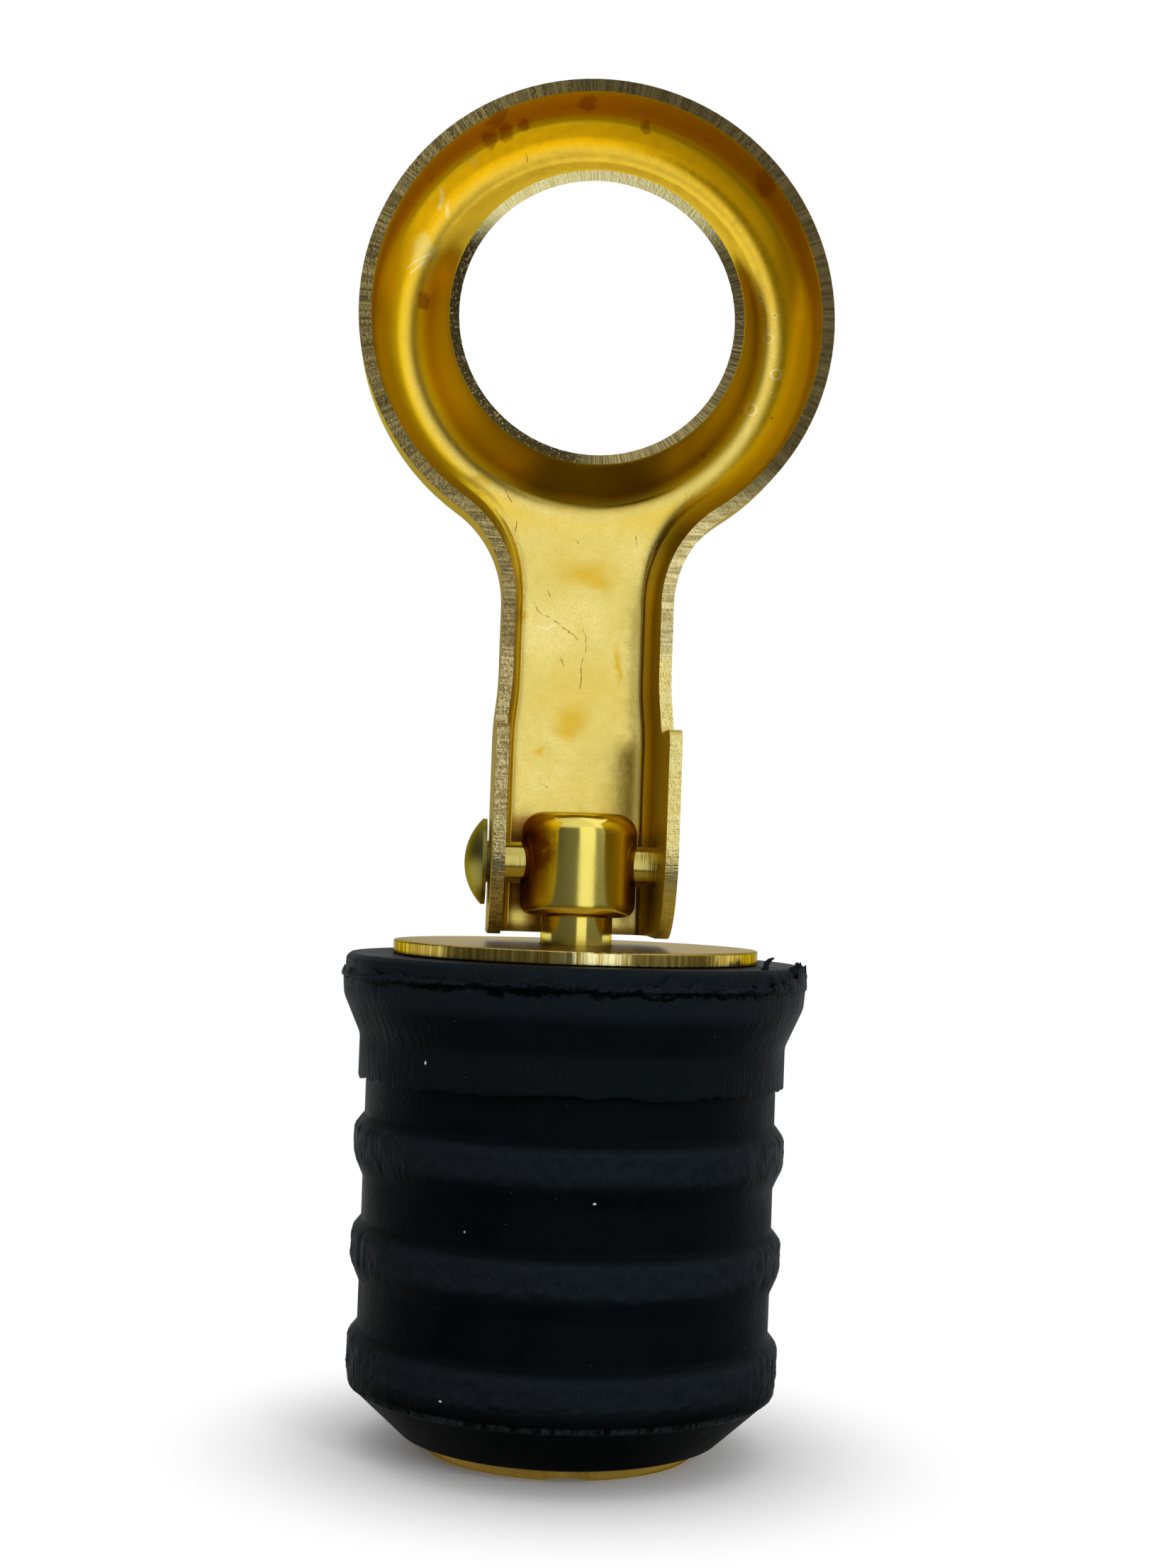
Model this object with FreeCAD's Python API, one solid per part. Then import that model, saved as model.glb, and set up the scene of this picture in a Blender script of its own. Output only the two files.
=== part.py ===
import FreeCAD, Part
import math
import os

os.makedirs("parts", exist_ok=True)

# Expanding drain plug for the drain tube of a boat. A brass handle with two cam ears turns on a
# rivet through the head of a brass post. Folded down, its ears press a washer onto a ribbed rubber
# body, which swells in the tube. A threaded nut under the rubber takes the post's pull.
# Millimetres. The origin is under the middle of the nut's flange and +Z is up the post.
# The handle stands upright, its open side faces -Y, and the rivet lies along X.

# Nut under the rubber
FLANGE_RADIUS = 9.85
FLANGE_THICK = 1.0
FLANGE_ROUND = 0.25
NOTCH_RADIUS = 2.0
NOTCH_DEPTH = 0.9
BARREL_RADIUS = 4.0
BARREL_LENGTH = 6.0
BARREL_GAP = 0.05

# Rubber body, sized by the ribs that slide into the tube
RIB_RADIUS = 15.5
RIB_RISE = 0.7
RIB_COUNT = 3
RIB_HEIGHT = 4.4
RIB_LAND_BELOW = 1.0
RIB_LAND_ABOVE = 1.3
RIB_ROUND_BELOW = 1.2
RIB_ROUND_ABOVE = 0.6
RIB_ROOT_ROUND = 0.5
RUBBER_HEIGHT = 34.0
FOOT_TO_FIRST_RIB = 5.5
LAST_RIB_TO_BAND = 5.0
FOOT_SET_IN = 4.3
FOOT_SLOPE_HEIGHT = 3.8
FOOT_ROUND = 0.8
BAND_SET_IN = 0.13
BAND_ROUND = 0.15
BAND_HEIGHT = 2.8
FLARE_HEIGHT = 2.9
LIP_OVERHANG = 1.35
LIP_HEIGHT = 2.9
LIP_ROUND = 0.7
RUBBER_BORE_GAP = 0.3

# Washer under the cams
WASHER_RADIUS = 13.2
WASHER_THICK = 1.0
WASHER_HOLE_GAP = 0.15
WASHER_ROUND = 0.12

# Post
HEAD_RADIUS = 4.2
HEAD_HEIGHT = 7.5
HEAD_TOP_ROUND = 1.5
HEAD_FOOT_ROUND = 0.9
SHANK_RADIUS = 2.6
THREAD_SET_IN = 0.1
THREAD_LENGTH = 14.0
THREAD_GAP = 0.05
POST_END_RECESS = 0.3
POST_END_CHAMFER = 0.5

# Rivet
RIVET_RADIUS = 1.5
RIVET_GAP = 0.05
RIVET_HEAD_RADIUS = 3.1
RIVET_HEAD_RIM = 0.3
RIVET_HEAD_DOME = 1.25
RIVET_HEAD_PLAY = 0.25
RIVET_TAIL_SPREAD = 0.6

# Cams
CAM_REST = 5.15
CAM_LIFT = 2.35
CAM_TURN = math.radians(90)
CAM_STEPS = 12
REST_GAP = 0.65
EAR_TOP = 9.7
EAR_CORNER_ROUND = 1.0
EAR_STEP_ROUND = 0.8

# Handle, bent from one sheet
SHEET = 0.9
HEAD_SIDE_GAP = 1.4
HEAD_BACK_GAP = 0.2
EAR_FLARE = 0.3
EAR_FLARE_FOOT = 9.0
EAR_FLARE_TOP = 14.0
NECK_BEND = 1.0
NECK_DEPTH = 7.5
THROAT_RADIUS = 7.9
RING_RISE = 40.15
RING_WEB = 0.45
RING_BEND = 2.5
RING_DEPTH = 7.0
DEPTH_CHANGE_TOP = 28.0
DEPTH_CHANGE_FOOT = 18.0
DEPTH_CHANGE_ROUND = 6.0
HOLE_RADIUS = 10.15
HOLE_LIP_WIDTH = 3.45
HOLE_LIP_BEND = 1.2
HOLE_LIP_ANGLE = math.radians(71)
HOLE_LIP_EDGE = 0.75

# Heights that follow from the sizes
RUBBER_FOOT = FLANGE_THICK
RUBBER_TOP = RUBBER_FOOT + RUBBER_HEIGHT
WASHER_TOP = RUBBER_TOP + WASHER_THICK
PIN_HEIGHT = WASHER_TOP + REST_GAP + CAM_REST
RING_HEIGHT = PIN_HEIGHT + RING_RISE

# Radii that follow from the sizes
WALL_RADIUS = RIB_RADIUS - RIB_RISE
FOOT_RADIUS = RIB_RADIUS - FOOT_SET_IN
BAND_RADIUS = RIB_RADIUS - BAND_SET_IN
LIP_RADIUS = RIB_RADIUS + LIP_OVERHANG
THREAD_RADIUS = SHANK_RADIUS - THREAD_SET_IN
HOLE_LIP_START = HOLE_RADIUS + HOLE_LIP_WIDTH
RING_RADIUS = HOLE_LIP_START + RING_WEB + RING_BEND + SHEET

# Widths and depths that follow from the sizes
CORNER_OUT = HEAD_RADIUS - HEAD_TOP_ROUND
CORNER_UP = HEAD_HEIGHT / 2 - HEAD_TOP_ROUND
HEAD_REACH = math.hypot(CORNER_OUT, CORNER_UP) + HEAD_TOP_ROUND
WEB_FRONT = HEAD_REACH + HEAD_BACK_GAP
WEB_BACK = WEB_FRONT + SHEET
EAR_INSIDE = HEAD_RADIUS + HEAD_SIDE_GAP
EAR_OUTSIDE = EAR_INSIDE + SHEET
NECK_OUTSIDE = EAR_OUTSIDE - EAR_FLARE
LAND_FRONT = -(CAM_REST + CAM_LIFT)

# How far the rough blanks run past the finished edges
SPARE = 2.0

VECTOR = FreeCAD.Vector
UP = VECTOR(0, 0, 1)
BACKWARD = VECTOR(0, 1, 0)
RIGHTWARD = VECTOR(1, 0, 0)
ORIGIN = VECTOR(0, 0, 0)


def rounded_path(corners):
    """Edges along (x, z, rounding radius) corners in the XZ plane. The two ends stay sharp."""
    points = [VECTOR(x, 0, z) for x, z, radius in corners]
    edges = []
    last = points[0]
    for i in range(1, len(points) - 1):
        corner = points[i]
        back = (points[i - 1] - corner).normalize()
        ahead = (points[i + 1] - corner).normalize()
        radius = corners[i][2]
        half = back.getAngle(ahead) / 2
        reach = radius / math.tan(half)
        start = corner + back * reach
        edges.append(Part.makeLine(last, start))
        last = corner
        if radius > 0:
            last = corner + ahead * reach
            bisector = (back + ahead).normalize()
            middle = corner + bisector * (radius / math.sin(half) - radius)
            edges.append(Part.Arc(start, middle, last).toShape())
    edges.append(Part.makeLine(last, points[-1]))
    return edges


def turned(corners):
    """Solid turned about Z from an outline of (radius, z, rounding radius) corners."""
    outline = rounded_path(corners + corners[:1])
    return Part.Face(Part.Wire(outline)).revolve(ORIGIN, UP, 360)


def crosswise_rod(radius):
    """Rod on the rivet's axis, longer than the handle is wide."""
    length = 2 * (EAR_OUTSIDE + SPARE)
    return Part.makeCylinder(radius, length, VECTOR(-length / 2, 0, PIN_HEIGHT), RIGHTWARD)


def mirrored(point):
    """The point's mirror image across the handle's middle plane."""
    return VECTOR(-point.x, point.y, point.z)


def make_tee_nut():
    """Flanged nut with a shallow notch in the flange's rim, facing the handle's open side."""
    bore = THREAD_RADIUS + THREAD_GAP
    nut = turned([
        (bore, 0, 0),
        (FLANGE_RADIUS, 0, FLANGE_ROUND),
        (FLANGE_RADIUS, FLANGE_THICK, FLANGE_ROUND),
        (BARREL_RADIUS, FLANGE_THICK, 0),
        (BARREL_RADIUS, FLANGE_THICK + BARREL_LENGTH, FLANGE_ROUND),
        (bore, FLANGE_THICK + BARREL_LENGTH, 0),
    ])
    notch_centre = VECTOR(0, -(FLANGE_RADIUS + NOTCH_RADIUS - NOTCH_DEPTH), -SPARE)
    notch = Part.makeCylinder(NOTCH_RADIUS, FLANGE_THICK + 2 * SPARE, notch_centre, UP)
    return nut.cut(notch)


def rib_corners(middle):
    """Outline of one rib about its middle height."""
    return [
        (WALL_RADIUS, middle - RIB_HEIGHT / 2, RIB_ROOT_ROUND),
        (RIB_RADIUS, middle - RIB_LAND_BELOW, RIB_ROUND_BELOW),
        (RIB_RADIUS, middle + RIB_LAND_ABOVE, RIB_ROUND_ABOVE),
        (WALL_RADIUS, middle + RIB_HEIGHT / 2, RIB_ROOT_ROUND),
    ]


def make_rubber_body():
    """Moulded body: sloped foot, ribs, a band and the lip that seats on the tube's end."""
    bore = SHANK_RADIUS + RUBBER_BORE_GAP
    barrel_bore = BARREL_RADIUS + BARREL_GAP
    barrel_top = RUBBER_FOOT + BARREL_LENGTH + BARREL_GAP
    flare_top = RUBBER_TOP - LIP_HEIGHT
    flare_foot = flare_top - FLARE_HEIGHT
    band_foot = flare_foot - BAND_HEIGHT
    first_rib = RUBBER_FOOT + FOOT_TO_FIRST_RIB
    last_rib = band_foot - LAST_RIB_TO_BAND
    pitch = (last_rib - first_rib) / (RIB_COUNT - 1)
    middles = [first_rib + i * pitch for i in range(RIB_COUNT)]
    corners = [
        (barrel_bore, RUBBER_FOOT, 0),
        (FOOT_RADIUS, RUBBER_FOOT, FOOT_ROUND),
        (RIB_RADIUS, RUBBER_FOOT + FOOT_SLOPE_HEIGHT, RIB_ROUND_BELOW),
    ]
    corners += rib_corners(middles[0])[2:]
    for middle in middles[1:]:
        corners += rib_corners(middle)
    corners += [
        (WALL_RADIUS, band_foot, 0),
        (BAND_RADIUS, band_foot, BAND_ROUND),
        (BAND_RADIUS, flare_foot, RIB_ROUND_BELOW),
        (LIP_RADIUS, flare_top, RIB_ROUND_BELOW),
        (LIP_RADIUS, RUBBER_TOP, LIP_ROUND),
        (bore, RUBBER_TOP, 0),
        (bore, barrel_top, 0),
        (barrel_bore, barrel_top, 0),
    ]
    return turned(corners)


def make_top_washer():
    """Punched disc between the cams and the rubber."""
    bore = SHANK_RADIUS + WASHER_HOLE_GAP
    return turned([
        (bore, RUBBER_TOP, 0),
        (WASHER_RADIUS, RUBBER_TOP, WASHER_ROUND),
        (WASHER_RADIUS, WASHER_TOP, WASHER_ROUND),
        (bore, WASHER_TOP, 0),
    ])


def make_draw_post():
    """Turned post: round head with the rivet's cross hole, shank and threaded end."""
    thread_top = POST_END_RECESS + THREAD_LENGTH
    head_foot = PIN_HEIGHT - HEAD_HEIGHT / 2
    head_top = PIN_HEIGHT + HEAD_HEIGHT / 2
    post = turned([
        (0, POST_END_RECESS, 0),
        (THREAD_RADIUS - POST_END_CHAMFER, POST_END_RECESS, 0),
        (THREAD_RADIUS, POST_END_RECESS + POST_END_CHAMFER, 0),
        (THREAD_RADIUS, thread_top, 0),
        (SHANK_RADIUS, thread_top, 0),
        (SHANK_RADIUS, head_foot, 0),
        (HEAD_RADIUS, head_foot, HEAD_FOOT_ROUND),
        (HEAD_RADIUS, head_top, HEAD_TOP_ROUND),
        (0, head_top, 0),
    ])
    return post.cut(crosswise_rod(RIVET_RADIUS + RIVET_GAP))


def make_pivot_rivet():
    """Domed rivet whose tail is peened flush into the right ear."""
    rim = EAR_OUTSIDE + RIVET_HEAD_PLAY
    rim_top = rim + RIVET_HEAD_RIM
    crown = rim_top + RIVET_HEAD_DOME
    dome_radius = (RIVET_HEAD_RADIUS ** 2 + RIVET_HEAD_DOME ** 2) / (2 * RIVET_HEAD_DOME)
    half_angle = math.asin(RIVET_HEAD_RADIUS / dome_radius) / 2
    dome_x = dome_radius * math.sin(half_angle)
    dome_z = crown - dome_radius * (1 - math.cos(half_angle))
    tail_start = -(EAR_OUTSIDE - RIVET_TAIL_SPREAD)
    edges = rounded_path([
        (RIVET_HEAD_RADIUS, rim_top, 0),
        (RIVET_HEAD_RADIUS, rim, 0),
        (RIVET_RADIUS, rim, 0),
        (RIVET_RADIUS, tail_start, 0),
        (RIVET_RADIUS + RIVET_TAIL_SPREAD, -EAR_OUTSIDE, 0),
        (0, -EAR_OUTSIDE, 0),
        (0, crown, 0),
    ])
    dome_middle = VECTOR(dome_x, 0, dome_z)
    dome_end = VECTOR(RIVET_HEAD_RADIUS, 0, rim_top)
    edges.append(Part.Arc(VECTOR(0, 0, crown), dome_middle, dome_end).toShape())
    rivet = Part.Face(Part.Wire(edges)).revolve(ORIGIN, UP, 360)
    rivet.rotate(ORIGIN, BACKWARD, -90)
    rivet.translate(VECTOR(0, 0, PIN_HEIGHT))
    return rivet


def throat_height():
    """Height of the throat arcs' centres, which touch the ring's circle and the neck's sides."""
    reach = RING_RADIUS + THROAT_RADIUS
    side = NECK_OUTSIDE + THROAT_RADIUS
    return RING_HEIGHT - math.sqrt(reach ** 2 - side ** 2)


def throat_blank(inset, back, ring_round, neck_round):
    """Block between ring and neck, its back edges rounded from the ring's bend to the neck's."""
    low = throat_height()
    side = NECK_OUTSIDE + THROAT_RADIUS
    radius = THROAT_RADIUS + inset
    drop = math.atan2(RING_HEIGHT - low, side)
    ring_reach = RING_RADIUS - inset
    start = VECTOR(ring_reach * math.cos(drop), back, RING_HEIGHT - ring_reach * math.sin(drop))
    angle = math.pi - drop / 2
    middle = VECTOR(side + radius * math.cos(angle), back, low + radius * math.sin(angle))
    end = VECTOR(NECK_OUTSIDE - inset, back, low)
    centre = VECTOR(0, back, RING_HEIGHT)
    edges = [
        Part.makeLine(centre, start),
        Part.Arc(start, middle, end).toShape(),
        Part.makeLine(end, mirrored(end)),
        Part.Arc(mirrored(end), mirrored(middle), mirrored(start)).toShape(),
        Part.makeLine(mirrored(start), centre),
    ]
    depth = back - LAND_FRONT + SPARE
    blank = Part.Face(Part.Wire(edges)).extrude(BACKWARD * -depth)
    for arc_end in (start, mirrored(start)):
        blank = rounded_from(blank, arc_end, radius, ring_round, neck_round)
    return blank


def rounded_from(blank, arc_end, arc_radius, first_round, last_round):
    """Round the arc edge that starts at a point, from one rounding radius to the other."""
    for edge in blank.Edges:
        if not isinstance(edge.Curve, Part.Circle) or abs(edge.Curve.Radius - arc_radius) > 1e-6:
            continue
        first = edge.valueAt(edge.FirstParameter)
        last = edge.valueAt(edge.LastParameter)
        if first.distanceToPoint(arc_end) < 1e-6:
            return blank.makeFillet(first_round, last_round, [edge])
        if last.distanceToPoint(arc_end) < 1e-6:
            return blank.makeFillet(last_round, first_round, [edge])
    raise ValueError("the throat has no arc at this point")


def neck_blank(inset, back, neck_round):
    """Block of neck and ears, flared to the ears by two arcs, its long back edges rounded."""
    neck = NECK_OUTSIDE - inset
    ear = EAR_OUTSIDE - inset
    top = PIN_HEIGHT + EAR_FLARE_TOP
    foot = PIN_HEIGHT + EAR_FLARE_FOOT
    middle_height = (top + foot) / 2
    middle_width = (neck + ear) / 2
    bottom = PIN_HEIGHT - CAM_REST - SPARE
    radius = (EAR_FLARE ** 2 + (top - foot) ** 2) / (4 * EAR_FLARE)
    lean = math.asin((top - foot) / 2 / radius) / 2
    bulge = radius * (1 - math.cos(lean))
    slide = radius * math.sin(lean)
    points = [
        VECTOR(neck, back, throat_height()),
        VECTOR(neck, back, top),
        VECTOR(neck + bulge, back, top - slide),
        VECTOR(middle_width, back, middle_height),
        VECTOR(ear - bulge, back, foot + slide),
        VECTOR(ear, back, foot),
        VECTOR(ear, back, bottom),
    ]
    edges = []
    for side in (points, [mirrored(point) for point in points]):
        edges.append(Part.makeLine(side[0], side[1]))
        edges.append(Part.Arc(side[1], side[2], side[3]).toShape())
        edges.append(Part.Arc(side[3], side[4], side[5]).toShape())
        edges.append(Part.makeLine(side[5], side[6]))
    edges.append(Part.makeLine(points[0], mirrored(points[0])))
    edges.append(Part.makeLine(points[-1], mirrored(points[-1])))
    outline = Part.Wire(Part.__sortEdges__(edges))
    blank = Part.Face(outline).extrude(BACKWARD * -(back - LAND_FRONT + SPARE))
    long_edges = []
    for edge in blank.Edges:
        middle = edge.valueAt((edge.FirstParameter + edge.LastParameter) / 2)
        on_side = abs(middle.x) > neck - 1e-6
        if abs(middle.y - back) < 1e-6 and on_side:
            long_edges.append(edge)
    return blank.makeFillet(neck_round, long_edges)


def ring_sector():
    """Dished ring from one end of the throat over the top to the other, with its outer wall."""
    inside = RING_RADIUS - SHEET
    crease = inside - RING_BEND
    front = LAND_FRONT - SPARE
    bend_height = WEB_FRONT - RING_BEND
    outer = RING_BEND + SHEET
    diagonal = math.sqrt(0.5)
    edges = [
        Part.makeLine(VECTOR(HOLE_LIP_START, WEB_BACK, 0), VECTOR(crease, WEB_BACK, 0)),
        Part.Arc(
            VECTOR(crease, WEB_BACK, 0),
            VECTOR(crease + outer * diagonal, bend_height + outer * diagonal, 0),
            VECTOR(RING_RADIUS, bend_height, 0),
        ).toShape(),
        Part.makeLine(VECTOR(RING_RADIUS, bend_height, 0), VECTOR(RING_RADIUS, front, 0)),
        Part.makeLine(VECTOR(RING_RADIUS, front, 0), VECTOR(inside, front, 0)),
        Part.makeLine(VECTOR(inside, front, 0), VECTOR(inside, bend_height, 0)),
        Part.Arc(
            VECTOR(inside, bend_height, 0),
            VECTOR(crease + RING_BEND * diagonal, bend_height + RING_BEND * diagonal, 0),
            VECTOR(crease, WEB_FRONT, 0),
        ).toShape(),
        Part.makeLine(VECTOR(crease, WEB_FRONT, 0), VECTOR(HOLE_LIP_START, WEB_FRONT, 0)),
        Part.makeLine(VECTOR(HOLE_LIP_START, WEB_FRONT, 0), VECTOR(HOLE_LIP_START, WEB_BACK, 0)),
    ]
    section = Part.Face(Part.Wire(edges))
    drop = math.degrees(math.atan2(RING_HEIGHT - throat_height(), NECK_OUTSIDE + THROAT_RADIUS))
    section.rotate(ORIGIN, BACKWARD, drop)
    section.translate(VECTOR(0, 0, RING_HEIGHT))
    return section.revolve(VECTOR(0, 0, RING_HEIGHT), BACKWARD, -(180 + 2 * drop))


def hole_lip():
    """Rim of the finger hole, bent forward out of the web."""
    sine = math.sin(HOLE_LIP_ANGLE)
    cosine = math.cos(HOLE_LIP_ANGLE)
    half_sine = math.sin(HOLE_LIP_ANGLE / 2)
    half_cosine = math.cos(HOLE_LIP_ANGLE / 2)
    outer = HOLE_LIP_BEND + SHEET
    bend_centre = VECTOR(HOLE_LIP_START, WEB_FRONT - HOLE_LIP_BEND, 0)
    start_front = VECTOR(HOLE_LIP_START, WEB_FRONT, 0)
    start_back = VECTOR(HOLE_LIP_START, WEB_BACK, 0)
    bend_front = bend_centre + VECTOR(-sine, cosine, 0) * HOLE_LIP_BEND
    bend_back = bend_centre + VECTOR(-sine, cosine, 0) * outer
    middle_front = bend_centre + VECTOR(-half_sine, half_cosine, 0) * HOLE_LIP_BEND
    middle_back = bend_centre + VECTOR(-half_sine, half_cosine, 0) * outer
    run = (bend_front.x - sine * HOLE_LIP_EDGE - HOLE_RADIUS) / cosine
    end_front = bend_front + VECTOR(-cosine, -sine, 0) * run
    end_back = end_front + VECTOR(-sine, cosine, 0) * HOLE_LIP_EDGE
    edges = [
        Part.Arc(start_front, middle_front, bend_front).toShape(),
        Part.makeLine(bend_front, end_front),
        Part.makeLine(end_front, end_back),
        Part.makeLine(end_back, bend_back),
        Part.Arc(bend_back, middle_back, start_back).toShape(),
        Part.makeLine(start_back, start_front),
    ]
    lip = Part.Face(Part.Wire(edges)).revolve(ORIGIN, BACKWARD, 360)
    lip.translate(VECTOR(0, 0, RING_HEIGHT))
    return lip


def cam_edge():
    """Front lower edge of an ear. Its reach below the rivet grows evenly as the handle folds."""
    growth = CAM_LIFT / CAM_TURN
    points = []
    for i in range(CAM_STEPS + 1):
        angle = CAM_TURN * i / CAM_STEPS
        reach = CAM_REST + growth * angle
        forward = reach * math.sin(angle) + growth * math.cos(angle)
        height = growth * math.sin(angle) - reach * math.cos(angle)
        points.append(VECTOR(-forward, 0, height))
    curve = Part.BSplineCurve()
    curve.interpolate(points)
    return curve.toShape(), points[0], points[-1]


def side_profile():
    """Slab in the handle's side view: cam edge, ear, and wall depth of neck and ring."""
    cam, cam_start, cam_end = cam_edge()
    back = WEB_BACK + SPARE
    top = RING_RISE + RING_RADIUS + SPARE
    ring_front = WEB_BACK - RING_DEPTH
    neck_front = WEB_BACK - NECK_DEPTH
    edges = rounded_path([
        (cam_end.x, cam_end.z, 0),
        (LAND_FRONT, EAR_TOP, EAR_CORNER_ROUND),
        (neck_front, EAR_TOP, EAR_STEP_ROUND),
        (neck_front, DEPTH_CHANGE_FOOT, DEPTH_CHANGE_ROUND),
        (ring_front, DEPTH_CHANGE_TOP, DEPTH_CHANGE_ROUND),
        (ring_front, top, 0),
        (back, top, 0),
        (back, -CAM_REST, 0),
        (cam_start.x, cam_start.z, 0),
    ])
    profile = Part.Face(Part.Wire(edges + [cam]))
    profile.rotate(ORIGIN, UP, 90)
    width = 2 * (RING_RADIUS + SPARE)
    profile.translate(VECTOR(-width / 2, 0, PIN_HEIGHT))
    return profile.extrude(RIGHTWARD * width)


def make_cam_handle():
    """Handle pressed from one sheet: dished ring, channel neck and two cam ears."""
    throat = throat_blank(0, WEB_BACK, RING_BEND + SHEET, NECK_BEND + SHEET)
    throat = throat.cut(throat_blank(SHEET, WEB_FRONT, RING_BEND, NECK_BEND))
    hole_start = VECTOR(0, WEB_FRONT - SPARE, RING_HEIGHT)
    throat = throat.cut(Part.makeCylinder(HOLE_LIP_START, 2 * SPARE + SHEET, hole_start, BACKWARD))
    neck = neck_blank(0, WEB_BACK, NECK_BEND + SHEET)
    neck = neck.cut(neck_blank(SHEET, WEB_FRONT, NECK_BEND))
    handle = ring_sector().fuse([throat, neck, hole_lip()])
    handle = handle.common(side_profile())
    countersink = Part.makeCone(
        RIVET_RADIUS,
        RIVET_RADIUS + RIVET_TAIL_SPREAD,
        RIVET_TAIL_SPREAD,
        VECTOR(EAR_OUTSIDE - RIVET_TAIL_SPREAD, 0, PIN_HEIGHT),
        RIGHTWARD,
    )
    return handle.cut([crosswise_rod(RIVET_RADIUS), countersink]).removeSplitter()


for node, make in (
    ("tee_nut", make_tee_nut),
    ("rubber_body", make_rubber_body),
    ("top_washer", make_top_washer),
    ("draw_post", make_draw_post),
    ("pivot_rivet", make_pivot_rivet),
    ("cam_handle", make_cam_handle),
):
    shape = make()
    if not shape.isValid() or len(shape.Solids) != 1:
        raise ValueError(node + " is not one sound solid")
    shape.exportStep("parts/" + node + ".step")
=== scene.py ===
import math

import bpy
import numpy as np
from mathutils import Matrix, Vector


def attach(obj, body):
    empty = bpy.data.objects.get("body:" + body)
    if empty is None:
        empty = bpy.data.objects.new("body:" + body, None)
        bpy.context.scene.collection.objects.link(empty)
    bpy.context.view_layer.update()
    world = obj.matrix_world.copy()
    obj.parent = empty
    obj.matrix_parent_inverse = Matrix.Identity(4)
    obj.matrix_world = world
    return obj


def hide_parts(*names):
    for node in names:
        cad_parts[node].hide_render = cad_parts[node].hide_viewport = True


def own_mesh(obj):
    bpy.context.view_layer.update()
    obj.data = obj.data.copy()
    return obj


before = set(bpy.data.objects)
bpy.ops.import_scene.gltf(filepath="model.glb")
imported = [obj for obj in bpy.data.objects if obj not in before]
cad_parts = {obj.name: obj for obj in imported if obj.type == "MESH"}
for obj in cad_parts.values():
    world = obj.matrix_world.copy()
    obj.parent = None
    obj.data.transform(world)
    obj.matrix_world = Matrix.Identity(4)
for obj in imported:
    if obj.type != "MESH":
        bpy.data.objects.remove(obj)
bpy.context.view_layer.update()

MM = 0.001

# Places on the solids, in millimetres
RIVET_HEIGHT = 41.8
RING_HEIGHT = 81.95
WEB_FRONT = 5.215
RUBBER_TOP = 35.0
RUBBER_FOOT = 1.0

# In the materials, lengths are in millimetres and colours are linear. Two numbers after a value are
# the ends of a smooth step.

# How much the depth along Y counts in the shape of a spot or a line on the part's front
DEPTH_SHARE = 0.4
# The share of a line's half width that is fully coloured
LINE_CORE = 0.3


# ---------------------------------------------------------------- node trees


class Graph:
    """Short calls for building one node tree."""

    def __init__(self, tree):
        self.tree = tree

    def feed(self, socket, value):
        """Link or set one input. A colour's alpha is 1."""
        if isinstance(value, bpy.types.NodeSocket):
            self.tree.links.new(value, socket)
            return
        if socket.type == "RGBA":
            value = (*value, 1)
        socket.default_value = value

    def add(self, kind, values=(), **settings):
        node = self.tree.nodes.new("ShaderNode" + kind)
        for name, value in settings.items():
            setattr(node, name, value)
        for socket, value in dict(values).items():
            self.feed(node.inputs[socket], value)
        return node

    def math(self, operation, *values):
        node = self.add("Math", operation=operation)
        for socket, value in zip(node.inputs, values):
            self.feed(socket, value)
        return node.outputs[0]

    def vector(self, operation, *values):
        node = self.add("VectorMath", operation=operation)
        for socket, value in zip(node.inputs, values):
            self.feed(socket, value)
        return node.outputs["Value" if operation in ("LENGTH", "DOT_PRODUCT") else "Vector"]

    def chain(self, operation, values):
        total = values[0]
        for value in values[1:]:
            total = self.math(operation, total, value)
        return total

    def both(self, *masks):
        """The product of masks and plain shares."""
        return self.chain("MULTIPLY", masks)

    def either(self, *masks):
        return self.chain("MAXIMUM", masks)

    def plus(self, *values):
        return self.chain("ADD", values)

    def inverse(self, mask):
        return self.math("SUBTRACT", 1.0, mask)

    def step(self, value, low, high, bottom=0.0, top=1.0):
        """A smooth step from bottom at low to top at high."""
        values = {"Value": value, "From Min": low, "From Max": high, "To Min": bottom, "To Max": top}
        return self.add("MapRange", values, interpolation_type="SMOOTHSTEP").outputs["Result"]

    def between(self, value, start, full, fade, end):
        """1 from full to fade, and 0 before start and after end."""
        return self.both(self.step(value, start, full), self.step(value, end, fade))

    def mix(self, share, first, second):
        node = self.add("Mix", data_type="RGBA")
        for index, value in ((0, share), (6, first), (7, second)):
            self.feed(node.inputs[index], value)
        return node.outputs[2]

    def turn(self, x, y):
        """The angle round the upright axis, from the front towards +X, in radians."""
        return self.math("ARCTAN2", x, self.math("MULTIPLY", y, -1))


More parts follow.
